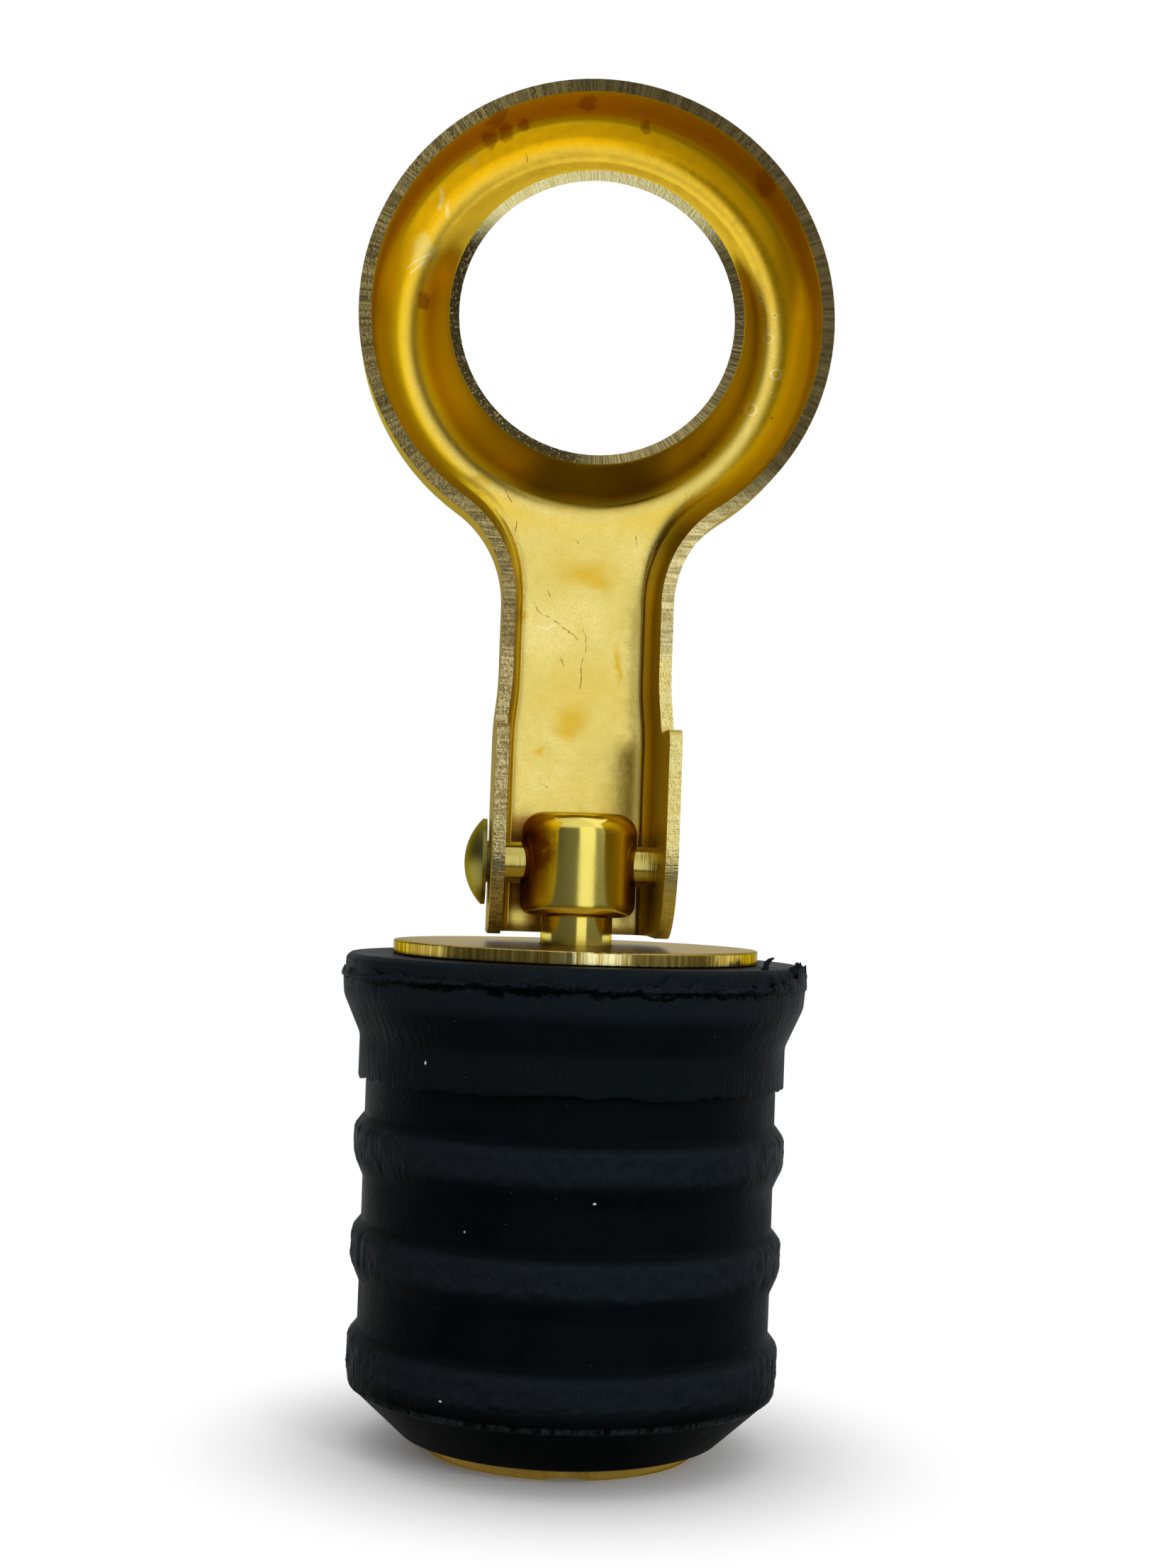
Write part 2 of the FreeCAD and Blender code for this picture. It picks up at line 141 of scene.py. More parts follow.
class Surface(Graph):
    """A material with the place on the part in millimetres and the part's own normal."""

    def __init__(self, name):
        self.material = bpy.data.materials.new(name)
        self.material.use_nodes = True
        super().__init__(self.material.node_tree)
        self.shader = self.tree.nodes["Principled BSDF"]
        source = self.add("TexCoord")
        self.place = self.vector("MULTIPLY", source.outputs["Object"], (1000, 1000, 1000))
        self.raised = self.vector("SUBTRACT", self.place, (0, 0, RIVET_HEIGHT))
        self.x, self.y, self.z = self.add("SeparateXYZ", {0: self.place}).outputs
        self.nx, self.ny, self.nz = self.add("SeparateXYZ", {0: source.outputs["Normal"]}).outputs

    def absolute(self, value):
        return self.math("ABSOLUTE", value)

    def above_rivet(self):
        return self.math("SUBTRACT", self.z, RIVET_HEIGHT)

    def noise(self, scale, detail=2.0, rough=0.5, stretch=(1, 1, 1), shift=(0, 0, 0), place=None):
        place = self.vector("MULTIPLY_ADD", place or self.place, stretch, shift)
        values = {"Vector": place, "Scale": scale, "Detail": detail, "Roughness": rough}
        return self.add("TexNoise", values).outputs[0]

    def from_axis(self):
        """The distance from the part's upright axis."""
        return self.vector("LENGTH", self.add("CombineXYZ", {0: self.x, 1: self.y}).outputs[0])

    def around(self, radius):
        """The place unrolled: arc length at that radius, height, distance from the axis."""
        arc = self.math("MULTIPLY", self.turn(self.x, self.y), radius)
        return self.add("CombineXYZ", {0: arc, 1: self.z, 2: self.from_axis()}).outputs[0]

    def blob(self, place, centre, size, edge):
        """A soft oval spot that reaches deeper along Y than it is wide."""
        shift = self.vector("SUBTRACT", place, centre)
        scaled = self.vector("MULTIPLY", shift, (1 / size[0], DEPTH_SHARE / size[0], 1 / size[1]))
        return self.step(self.vector("LENGTH", scaled), 1.0, 1.0 - edge)

    def line(self, place, start, end, width):
        """A thin straight mark between two points. Width is half its breadth."""
        way = [b - a for a, b in zip(start, end)]
        square = sum(w * w for w in way)
        shift = self.vector("SUBTRACT", place, start)
        along = self.vector("DOT_PRODUCT", shift, [w / square for w in way])
        along = self.math("MAXIMUM", self.math("MINIMUM", along, 1.0), 0.0)
        foot = self.vector("SCALE", way)
        self.feed(foot.node.inputs["Scale"], along)
        away = self.vector("MULTIPLY", self.vector("SUBTRACT", shift, foot), (1, DEPTH_SHARE, 1))
        return self.step(self.vector("LENGTH", away), width, width * LINE_CORE)

    def spots(self, place, marks, edge):
        return self.either(*[self.blob(place, centre, size, edge) for centre, size in marks])

    def hairs(self, place, lines, width):
        """Thin marks through points (x, z, x, z, ...) on the front of the handle's web."""
        total = 0.0
        for line in lines:
            points = [(line[k], WEB_FRONT, line[k + 1]) for k in range(0, len(line), 2)]
            for start, end in zip(points, points[1:]):
                total = self.either(self.line(place, start, end, width), total)
        return total

    def relief(self, height, depth, under=None):
        """A bump whose height is given in millimetres."""
        values = {"Strength": 1.0, "Distance": depth * MM, "Height": height}
        if under is not None:
            values["Normal"] = under
        return self.add("Bump", values).outputs[0]

    def finish(self, colour, rough, metal=1.0, normal=None, specular=None):
        inputs = self.shader.inputs
        self.feed(inputs["Base Color"], colour)
        self.feed(inputs["Roughness"], rough)
        self.feed(inputs["Metallic"], metal)
        if metal:
            self.feed(inputs["Specular Tint"], GRAZING_BRASS)
        if normal is not None:
            self.feed(inputs["Normal"], normal)
        if specular is not None:
            self.feed(inputs["Specular IOR Level"], specular)
        return self.material


# ------------------------------------------------------------------- camera

VIEW_TURN = math.radians(-4.0)
VIEW_RISE = math.radians(2.04)
VIEW_ROLL = math.radians(2.0)
VIEW_DISTANCE = 0.165
# The post's axis lies a little left of the picture's centre
VIEW_SLIDE = 0.00049
LENS_MM = 52.0
SENSOR_MM = 36.0


def make_camera():
    camera = bpy.data.objects.new("camera", bpy.data.cameras.new("camera"))
    bpy.context.scene.collection.objects.link(camera)
    camera.data.lens = LENS_MM
    camera.data.sensor_width = SENSOR_MM
    camera.data.clip_start = 0.01
    level = Vector((-math.sin(VIEW_TURN), math.cos(VIEW_TURN), 0))
    place = -level * VIEW_DISTANCE
    place.z = RIVET_HEIGHT * MM
    ahead = level * math.cos(VIEW_RISE) + Vector((0, 0, math.sin(VIEW_RISE)))
    above = Vector((0, 0, math.cos(VIEW_RISE))) - level * math.sin(VIEW_RISE)
    right = ahead.cross(above)
    across = right * math.cos(VIEW_ROLL) + above * math.sin(VIEW_ROLL)
    upward = above * math.cos(VIEW_ROLL) - right * math.sin(VIEW_ROLL)
    axes = Matrix((across, upward, -ahead)).transposed().to_4x4()
    camera.matrix_world = Matrix.Translation(place + VIEW_SLIDE * across) @ axes
    bpy.context.scene.camera = camera


# -------------------------------------------------------------------- light

# The soft box: where it starts, is full, fades and ends. Turns are radians from the front towards +X,
# heights are the upward part of a ray's direction.
BOX_TURN = (-0.10, 0.02, 0.43, 0.57)
BOX_HEIGHT = (-0.35, -0.25, 0.40, 0.64)
BOX_LEVEL = 0.90
# The dim sides: two turns and the levels there
LEFT_SIDE = (-1.2, -0.1, 0.05, 0.17)
RIGHT_SIDE = (0.30, 0.80, 0.0, 0.21)
# The parts of a ray's direction backward and upward at which the back and the ceiling start and are full
BEHIND = (0.60, 0.95)
BEHIND_LEVEL = 0.80
CEILING = (0.38, 0.62)
CEILING_LEVEL = 0.62
# What lights the part where no reflection is seen, and how much less comes from the front
PLAIN_LEVEL = 0.82
PLAIN_FRONT = (0.2, -0.6)
PLAIN_FRONT_LESS = 0.12

# In metres and watts
KEY_PLACE = (0.25, -0.45, 0.20)
KEY_AIM = (0, 0, 0.045)
KEY_SIZE = (0.10, 0.30)
KEY_POWER = 1.0


def make_world():
    """White behind the part. Reflections show a studio: a soft box, dim sides and a grey ceiling."""
    world = bpy.data.worlds.new("studio")
    bpy.context.scene.world = world
    world.use_nodes = True
    graph = Graph(world.node_tree)
    ray = graph.vector("NORMALIZE", graph.add("TexCoord").outputs["Generated"])
    x, y, z = graph.add("SeparateXYZ", {0: ray}).outputs
    turn = graph.turn(x, y)
    soft_box = graph.both(graph.between(turn, *BOX_TURN), graph.between(z, *BOX_HEIGHT))
    shown = graph.plus(
        graph.step(turn, *LEFT_SIDE),
        graph.step(turn, *RIGHT_SIDE),
        graph.both(soft_box, BOX_LEVEL),
        graph.both(graph.step(y, *BEHIND), BEHIND_LEVEL),
        graph.both(graph.step(z, *CEILING), CEILING_LEVEL),
    )
    shown = graph.math("MINIMUM", shown, 1.0)
    less = graph.both(graph.step(y, *PLAIN_FRONT), PLAIN_FRONT_LESS)
    plain = graph.math("SUBTRACT", PLAIN_LEVEL, less)
    path = graph.add("LightPath").outputs
    level = graph.mix(path["Is Glossy Ray"], plain, shown)
    seen = graph.either(path["Is Camera Ray"], path["Is Transmission Ray"])
    level = graph.mix(seen, level, (1, 1, 1))
    background = world.node_tree.nodes["Background"]
    graph.feed(background.inputs["Color"], level)
    background.inputs["Strength"].default_value = 1.0
    # the reflections and the plain level differ, so the world is met by the rays alone
    world.cycles.sampling_method = "NONE"


def make_key_lamp():
    """A weak lamp at the right of the front. Polished metal doesn't show it."""
    lamp = bpy.data.lights.new("key", "AREA")
    lamp.shape = "RECTANGLE"
    lamp.size, lamp.size_y = KEY_SIZE
    lamp.energy = KEY_POWER
    holder = bpy.data.objects.new("key", lamp)
    bpy.context.scene.collection.objects.link(holder)
    holder.location = KEY_PLACE
    away = Vector(KEY_PLACE) - Vector(KEY_AIM)
    holder.rotation_euler = away.to_track_quat("Z", "Y").to_euler()
    holder.visible_glossy = False


# In metres
FLOOR_HALF = 3.0
FLOOR_DROP = 0.00005
FLOOR_TONES = ((0.93, 0.93, 0.93), (0.96, 0.96, 0.96))
# Distances from the part's middle between which the floor turns into the plain white background
FLOOR_ENDS = (13.0, 30.0)
# The floor in front of the part as polished metal sees it: its level, and its level under the soft box
FLOOR_DIM = 0.11
FLOOR_CARD = 0.96
CARD_DISTANCE = (110.0, 170.0)
# Places along Y between which reflections see the floor turn dim, and its own colour give way to that
DIM_STARTS = (60.0, -20.0)
DIM_REPLACES = (0.0, -12.0)


def make_floor():
    half = FLOOR_HALF
    mesh = bpy.data.meshes.new("floor")
    corners = [(-half, -half, 0), (half, -half, 0), (half, half, 0), (-half, half, 0)]
    mesh.from_pydata(corners, [], [(0, 1, 2, 3)])
    floor = bpy.data.objects.new("floor", mesh)
    bpy.context.scene.collection.objects.link(floor)
    floor.location = (0, 0, -FLOOR_DROP)
    surface = Surface("pale_floor")
    paper = surface.mix(surface.noise(0.02, 3.0), *FLOOR_TONES)
    surface.finish(paper, 0.8, metal=0.0, specular=0.1)
    path = surface.add("LightPath").outputs
    seen = surface.either(path["Is Camera Ray"], path["Is Glossy Ray"], path["Is Transmission Ray"])
    # polished metal sees the floor white behind the part and dim in front of it, but for a pale
    # card that carries the soft box on below the horizon
    dim = surface.both(path["Is Glossy Ray"], surface.step(surface.y, *DIM_STARTS))
    distance = surface.vector("LENGTH", surface.place)
    turn = surface.turn(surface.x, surface.y)
    card = surface.both(surface.between(turn, *BOX_TURN), surface.step(distance, *CARD_DISTANCE))
    darker = surface.step(card, 0.0, 1.0, 1.0 - FLOOR_DIM, 1.0 - FLOOR_CARD)
    level = surface.inverse(surface.both(dim, darker))
    replaced = surface.both(dim, surface.step(surface.y, *DIM_REPLACES))
    plain = surface.either(surface.step(distance, *FLOOR_ENDS), replaced)
    glow = surface.add("Emission", {"Color": (1, 1, 1), "Strength": level})
    values = {0: surface.both(seen, plain), 1: surface.shader.outputs[0], 2: glow.outputs[0]}
    mixed = surface.add("MixShader", values)
    surface.feed(surface.tree.nodes["Material Output"].inputs["Surface"], mixed.outputs[0])
    surface.material.cycles.emission_sampling = "NONE"
    mesh.materials.append(surface.material)


# ------------------------------------------------------------- handle: marks

# Spots: (x, y, height above the rivet), (half width, half height)
BROWN_STAINS = (
    ((-8.32, 3.88, 54.12), (0.80, 0.78)), ((-7.14, 3.79, 54.81), (0.72, 0.72)),
    ((-5.91, 3.67, 55.41), (0.50, 0.50)), ((-7.90, 0.00, 54.69), (1.30, 0.70)),
    ((-1.11, 1.76, 56.67), (0.90, 0.50)), ((3.40, 4.21, 55.84), (0.55, 0.50)),
    ((-12.76, 5.08, 42.02), (0.50, 1.00)), ((12.29, 1.22, 51.23), (1.30, 1.20)),
    ((-12.53, 3.33, 50.84), (0.18, 0.18)), ((6.40, 4.00, 30.75), (0.60, 0.36)),
    ((7.60, 4.20, 31.00), (0.55, 0.36)), ((13.89, 4.98, 34.25), (0.16, 0.16)),
    ((8.60, 4.40, 31.20), (0.40, 0.26)),
)
ORANGE_STAINS = (
    ((0.10, 5.2, 21.90), (3.40, 1.70)), ((1.10, 5.2, 21.40), (1.70, 1.20)),
    ((-0.55, 5.2, 10.70), (2.30, 2.10)), ((-0.75, 5.2, 10.20), (1.50, 1.50)),
    ((-4.65, 5.0, 18.50), (0.70, 0.95)), ((-4.75, 4.8, 21.10), (0.34, 2.80)),
    ((-8.16, 5.2, 28.69), (1.50, 0.50)), ((-3.38, 5.2, 53.89), (0.55, 0.50)),
    ((-12.36, 5.2, 45.64), (1.00, 1.00)), ((2.80, 5.2, 15.10), (0.40, 2.40)),
    ((10.64, 5.2, 49.31), (0.48, 0.48)), ((14.27, -0.9, 48.81), (0.42, 0.42)),
    ((-9.60, 5.2, 52.70), (0.70, 0.60)), ((11.39, 5.0, 34.70), (0.40, 0.40)),
    ((-2.90, 5.2, 8.40), (0.55, 0.60)),
)
PALE_SMEARS = (
    ((-11.90, 4.9, 49.70), (0.34, 1.00)), ((-11.25, 5.2, 48.80), (0.30, 0.95)),
    ((-13.00, 5.2, 45.90), (1.00, 1.70)),
)
# Drying rings: centre, outer radius
DROPS = (
    ((13.43, 5.2, 40.51), 0.44), ((14.10, 5.2, 37.80), 0.50), ((12.27, 5.2, 35.00), 0.56),
    ((13.84, 5.2, 42.31), 0.24), ((13.86, 5.2, 36.24), 0.22), ((12.64, 5.14, 43.54), 0.34),
    ((13.10, 5.2, 33.30), 0.18),
)
# Hairs: x and height above the rivet, point by point
DARK_HAIRS = (
    (-5.82, 55.19, -5.62, 54.60, -5.66, 54.00, -5.45, 53.40, -5.42, 53.00),
    (-12.42, 48.05, -12.47, 47.75, -12.40, 47.40),
    (-1.25, 17.65, -0.62, 17.22, -0.30, 16.90),
    (0.02, 17.62, 0.35, 17.02, 0.28, 16.00, -0.02, 14.80, 0.12, 14.00, -0.05, 13.30),
    (-0.66, 24.45, -0.45, 24.15, -0.28, 23.82),
    (-2.70, 20.55, -2.45, 20.05),
    (-3.72, 19.70, -3.45, 19.10, -3.10, 18.75),
    (-6.17, 28.05, -5.95, 27.60, -5.60, 27.10),
    (-1.45, 15.40, -1.25, 14.85),
    (-5.20, 25.67, -5.25, 24.90),
    (3.81, 25.05, 3.92, 24.30),
    (-2.80, 6.00, -2.20, 5.70),
)
THICK_HAIRS = ((-1.90, 18.20, -1.25, 17.65, -0.95, 17.32), (-2.75, 18.65, -1.90, 18.20))
PALE_HAIRS = (
    (-14.35, 44.25, -13.30, 45.15, -12.45, 45.60),
    (-13.90, 44.10, -12.90, 45.00),
    (-3.30, 17.75, -2.60, 17.60, -2.05, 17.95),
    (-11.95, 50.00, -11.30, 49.00),
)

# ------------------------------------------------------------- handle: tones

# What the brass reflects at grazing angles
GRAZING_BRASS = (0.50, 0.42, 0.18)

# The web, from the pale neck to the ring, whose lacquer is deepest at its upper left
PALE_WEB = (0.80, 0.65, 0.175)
RUBBED_WEB = (0.90, 0.76, 0.26)
GOLD_WEB = (0.92, 0.60, 0.035)
MOTTLED_WEB = (0.80, 0.55, 0.06)
GRAIN_DARK = (0.70, 0.55, 0.12)
RUB_STREAK = (0.98, 0.88, 0.40)
# Bends and walls. The neck's two tones are mottled, the ring's are those of its lower and upper half.
NECK_BENDS = ((0.97, 0.74, 0.060), (0.93, 0.65, 0.035))
RING_BENDS = ((0.93, 0.70, 0.030), (0.98, 0.62, 0.030))
WALL_BY_CREASE = ((0.95, 0.62, 0.008), (0.97, 0.55, 0.004))
WALL_BY_RIM = ((0.90, 0.72, 0.010), (0.80, 0.58, 0.007))
BACK = (0.76, 0.59, 0.17)
# Painted shade for the hollow under the finger hole
HOLLOW_PAINTED_SHADE = (0.36, 0.23, 0.012)
OUTSIDE_LOW_RING = (0.42, 0.32, 0.08)
# Marks
ORANGE = (0.73, 0.49, 0.050)
BROWN = (0.42, 0.17, 0.003)
SMEAR = (0.95, 0.80, 0.25)
DROP_HEART = (0.80, 0.50, 0.03)
DROP_RIM = (1.0, 0.90, 0.45)
PALE_HAIR = (1.0, 0.93, 0.60)
DARK_HAIR = (0.20, 0.11, 0.02)
# Sheared edges. Two tones are those of the left and the right side, but at the top of the hole those
# between and on the tool marks. The ring's right tone and the ears' and neck's left tones are darkened
# by painted shade, and the tones at the top of the hole are a painted highlight.
RING_EDGE_DULL_AND_SHADE = ((0.13, 0.10, 0.038), (0.065, 0.050, 0.020))
RING_EDGE_SPARK = (0.62, 0.49, 0.19)
EAR_EDGE_DULL_SHADED_LEFT = ((0.36, 0.27, 0.10), (0.84, 0.68, 0.20))
EAR_EDGE_SPARK_SHADED_LEFT = ((0.88, 0.74, 0.36), (1.0, 0.92, 0.42))
NECK_EDGE_DULL_SHADED_LEFT = ((0.20, 0.155, 0.06), (0.46, 0.37, 0.14))
NECK_EDGE_SPARK_SHADED_LEFT = ((0.58, 0.46, 0.19), (0.98, 0.86, 0.42))
HOLE_EDGE_DULL = ((0.065, 0.050, 0.020), (0.20, 0.155, 0.065))
HOLE_EDGE_SPARK = (0.70, 0.56, 0.24)
HOLE_EDGE_TOP_HIGHLIGHT = ((0.95, 0.80, 0.28), (1.0, 0.99, 0.62))

# ------------------------------------------------------------ handle: places

# Heights above the rivet
RING_STARTS = (24.0, 30.0)
LACQUER_DEEPENS = (29.0, 48.0)
RUBS_END = (12.0, 7.0)
EAR_OUTLINE_ENDS = (21.0, 19.0)
NECK_EDGE_STARTS = (14.5, 16.5)
OUTSIDE_STARTS = (34.0, 28.0)
BOW_ENDS = (30.0, 22.0)
# Heights above the middle of the finger hole
UPPER_RING = (-2.0, 8.0)
LOW_RING = (-4.5, -11.0)
HOLE_TOP = (4.5, 8.0)
LIP_RUBBED = (1.0, 8.0)
WALL_OPEN = (0.0, 10.0)
# Distances from the middle of the finger hole
HOLE_EDGE = (11.3, 11.1)
HOLE_ROLL = 10.5
HOLLOW_ENDS = (14.0, 12.9)
LIP_ENDS = (14.0, 13.3)
WALL_STARTS = (13.9, 14.8)
OPEN_WALL = (14.4, 15.3, 15.7, 16.5)
RIM_SIDE_STARTS = (15.6, 16.3)
# Distances to the left and right
EAR_OUTSIDE = (5.1, 5.3)
# Places along Y
FRONT_RIM = (1.6, 1.0)
EAR_SHEET_ENDS = (4.3, 4.0)
WEB_STARTS = (3.0, 4.5)
HOLE_EDGE_DEPTH = (0.40, 0.15)

RING_UNROLL_RADIUS = 14.0
SOFTENING_RADIUS = 1.1
DROP_HEART_SHARE = 0.72


class Handle(Surface):
    """The stamped brass of the handle. Its masks are shared by colour and relief."""

    def __init__(self):
        super().__init__("stamped_brass")
        # where on the handle: reach is the distance from the middle of the finger hole
        self.rise = self.above_rivet()
        self.from_centre = self.math("SUBTRACT", self.z, RING_HEIGHT)
        flat_place = self.add("CombineXYZ", {0: self.x, 1: self.from_centre}).outputs[0]
        self.reach = self.vector("LENGTH", flat_place)
        self.ring = self.step(self.rise, *RING_STARTS)
        self.upper = self.step(self.from_centre, *UPPER_RING)
        self.hole_top = self.step(self.from_centre, *HOLE_TOP)
        self.on_right = self.step(self.x, -2.0, 2.0)
        # which way the surface looks
        self.flat = self.step(self.absolute(self.ny), 0.89, 0.99)
        self.front = self.step(self.ny, 0.10, -0.05)
        # grain
        self.blotch = self.noise(0.17, 4.0, 0.6)
        self.fine = self.noise(1.3, 3.0, 0.6)
        cloudy = self.plus(self.blotch, self.both(self.fine, 0.25))
        self.mottle = self.step(cloudy, 0.50, 0.80)
        self.torn = self.noise(4.5, 2.0, 0.6)
        self.spark = self.step(self.torn, 0.50, 0.68)
        arc = self.both(self.math("ARCTAN2", self.from_centre, self.x), RING_UNROLL_RADIUS)
        ring_place = self.add("CombineXYZ", {0: arc, 1: self.y}).outputs[0]
        neck_cuts = self.noise(1.0, 2.0, 0.7, stretch=(0.5, 0.5, 6.0))
        ring_cuts = self.noise(1.0, 2.0, 0.7, stretch=(4.5, 0.6, 1), place=ring_place)
        self.cuts = self.mix(self.ring, neck_cuts, ring_cuts)
        self.cut = self.step(self.cuts, 0.35, 0.70)
        # sheared edges: the rim that faces forward, the ears' outline, and the finger hole's edge
        rim = self.both(self.step(self.y, *FRONT_RIM), self.step(self.ny, -0.70, -0.85))
        outline = self.both(
            self.step(self.y, *EAR_SHEET_ENDS),
            self.step(self.absolute(self.nx), 0.45, 0.25),
            self.step(self.absolute(self.x), *EAR_OUTSIDE),
            self.step(self.rise, *EAR_OUTLINE_ENDS),
        )
        self.edge = self.either(rim, outline)
        # outward is high where the surface looks away from the hole's middle
        outward = self.plus(self.both(self.nx, self.x), self.both(self.nz, self.from_centre))
        self.bore = self.both(
            self.step(self.reach, *HOLE_EDGE),
            self.step(outward, 2.6, 1.6),
            self.step(self.y, *HOLE_EDGE_DEPTH),
        )

    def web_colour(self):
        tilt = self.math("SUBTRACT", self.rise, self.both(self.x, 0.2))
        lacquer = self.step(self.plus(tilt, self.both(self.blotch, 5.0)), *LACQUER_DEEPENS)
        rubbed = self.step(self.noise(0.13, 3.0, 0.55, shift=(3.0, 0, 1.0)), 0.40, 0.66)
        web = self.mix(lacquer, self.mix(rubbed, PALE_WEB, RUBBED_WEB), GOLD_WEB)
        web = self.mix(self.both(self.mottle, 0.35), web, MOTTLED_WEB)
        grain = self.noise(5.0, 2.0, 0.6)
        web = self.mix(self.step(grain, 0.42, 0.70, 0.0, 0.50), web, GRAIN_DARK)
        rubs = self.noise(1.0, 2.0, 0.6, stretch=(0.5, 1.0, 11.0), shift=(0, 0, 3.0))
        rubs = self.both(self.step(rubs, 0.62, 0.74), self.step(self.rise, *RUBS_END), 0.35)
        return self.mix(rubs, web, RUB_STREAK)

    def sheet_colour(self):
        """The web, the bends, the walls and the back, without marks."""
        bends = self.mix(self.mottle, *NECK_BENDS)
        bends = self.mix(self.both(self.ring, 0.8), bends, self.mix(self.upper, *RING_BENDS))
        colour = self.mix(self.flat, bends, self.web_colour())
        by_crease = self.mix(self.upper, *WALL_BY_CREASE)
        by_rim = self.mix(self.upper, *WALL_BY_RIM)
        wall = self.mix(self.step(self.reach, *RIM_SIDE_STARTS), by_crease, by_rim)
        ring_wall = self.both(self.ring, self.step(self.reach, *WALL_STARTS), self.front)
        colour = self.mix(ring_wall, colour, wall)
        # thin lacquer on the outside, and painted shade darkening the hollow under the hole
        colour = self.mix(self.both(self.step(self.ny, 0.05, 0.25), 0.65), colour, BACK)
        low_ring = self.step(self.from_centre, *LOW_RING)
        by_hole = self.step(self.reach, *HOLLOW_ENDS)
        return self.mix(self.both(low_ring, by_hole, self.front, 0.75), colour, HOLLOW_PAINTED_SHADE)

    def marked(self, colour):
        """Stains, smears, drying rings and hairs on the front."""
        noise = self.add("TexNoise", {"Vector": self.place, "Scale": 0.8, "Detail": 4.0})
        wander = self.vector("MULTIPLY_ADD", noise.outputs["Color"], (1.3, 0, 1.3), (-0.65, 0, -0.65))
        drifted = self.vector("ADD", self.raised, wander)
        for marks, edge, share, tone in (
            (ORANGE_STAINS, 0.95, 1.0, ORANGE),
            (BROWN_STAINS, 0.45, 0.70, BROWN),
            (PALE_SMEARS, 0.50, 0.50, SMEAR),
        ):
            mask = self.both(self.spots(drifted, marks, edge), self.front, share)
            colour = self.mix(mask, colour, tone)
        hearts, rims = [], []
        for centre, size in DROPS:
            inner = size * DROP_HEART_SHARE
            heart = self.blob(self.raised, centre, (inner, inner), 0.30)
            whole = self.blob(self.raised, centre, (size, size), 0.30)
            hearts.append(heart)
            rims.append(self.both(whole, self.inverse(heart)))
        colour = self.mix(self.both(self.either(*hearts), self.front, 0.6), colour, DROP_HEART)
        colour = self.mix(self.both(self.either(*rims), self.front, 0.7), colour, DROP_RIM)
        bent = self.vector("ADD", self.raised, self.vector("MULTIPLY", wander, (0.3, 0, 0.3)))
        broken = self.step(self.noise(2.6, 2.0, 0.6), 0.36, 0.56, 0.15, 1.0)
        pale = self.both(self.hairs(bent, PALE_HAIRS, 0.07), self.front, 0.65)
        dark = self.either(self.hairs(bent, DARK_HAIRS, 0.05), self.hairs(bent, THICK_HAIRS, 0.075))
        colour = self.mix(pale, colour, PALE_HAIR)
        return self.mix(self.both(dark, self.front, broken, 0.85), colour, DARK_HAIR)

    def sheared(self, colour):
        """The sheet's cut edges: grey-brown on the ring, bright grain on the ears, bare at the hole."""
        # painted shade: the ring's rim gets darker, with fewer bright grains, towards the right
        rightward = self.step(self.x, -13.0, 2.0)
        share = self.step(rightward, 0.0, 1.0, 0.60, 0.14)
        bright = self.both(self.either(self.spark, self.cut), share)
        ring_edge = self.mix(bright, self.mix(rightward, *RING_EDGE_DULL_AND_SHADE), RING_EDGE_SPARK)

        def side_edge(bright, dull, spark):
            return self.mix(bright, self.mix(self.on_right, *dull), self.mix(self.on_right, *spark))

        # painted shade: the ears' and the neck's edges are darker on the left than on the right
        bright = self.either(self.spark, self.both(self.cut, 0.8))
        ear_edge = side_edge(bright, EAR_EDGE_DULL_SHADED_LEFT, EAR_EDGE_SPARK_SHADED_LEFT)
        bright = self.either(self.cut, self.both(self.spark, 0.4))
        neck_edge = side_edge(bright, NECK_EDGE_DULL_SHADED_LEFT, NECK_EDGE_SPARK_SHADED_LEFT)
        side = self.mix(self.step(self.rise, *NECK_EDGE_STARTS), ear_edge, neck_edge)
        colour = self.mix(self.edge, colour, self.mix(self.ring, side, ring_edge))
        # the outer face beside the throat
        sideways = self.step(self.both(self.nx, self.x), 3.0, 4.5)
        outside = self.both(sideways, self.step(self.rise, *OUTSIDE_STARTS), 0.7)
        colour = self.mix(outside, colour, OUTSIDE_LOW_RING)
        # the hole's edge is dull with some bright tool marks, and at the top it carries a painted
        # highlight with tool marks
        bright = self.both(self.either(self.spark, self.on_right), self.cut)
        dull_edge = self.mix(bright, self.mix(self.on_right, *HOLE_EDGE_DULL), HOLE_EDGE_SPARK)
        top_edge = self.mix(self.cut, *HOLE_EDGE_TOP_HIGHLIGHT)
        return self.mix(self.bore, colour, self.mix(self.hole_top, dull_edge, top_edge))

    def height(self):
        """The relief in millimetres."""
        # the neck's web is bowed a little towards the right
        neck_web = self.both(self.step(self.rise, *BOW_ENDS), self.step(self.y, *WEB_STARTS))
        lean = self.both(self.x, self.flat, neck_web, -0.06)
        worn = self.mix(self.edge, self.both(self.fine, 0.006), self.both(self.torn, 0.035))
        tooled = self.both(self.either(self.edge, self.bore), self.cuts, 0.03)
        rolled = self.both(self.math("SUBTRACT", self.reach, HOLE_ROLL), self.bore, self.hole_top, -0.20)
        return self.plus(worn, tooled, lean, rolled)

    def base_normal(self):
        """Bends are softened and sheared edges stay sharp."""
        softened = self.add("Bevel", {"Radius": SOFTENING_RADIUS * MM}, samples=6).outputs[0]
        own = self.add("NewGeometry").outputs["Normal"]
        normal = self.mix(self.either(self.edge, self.bore), softened, own)
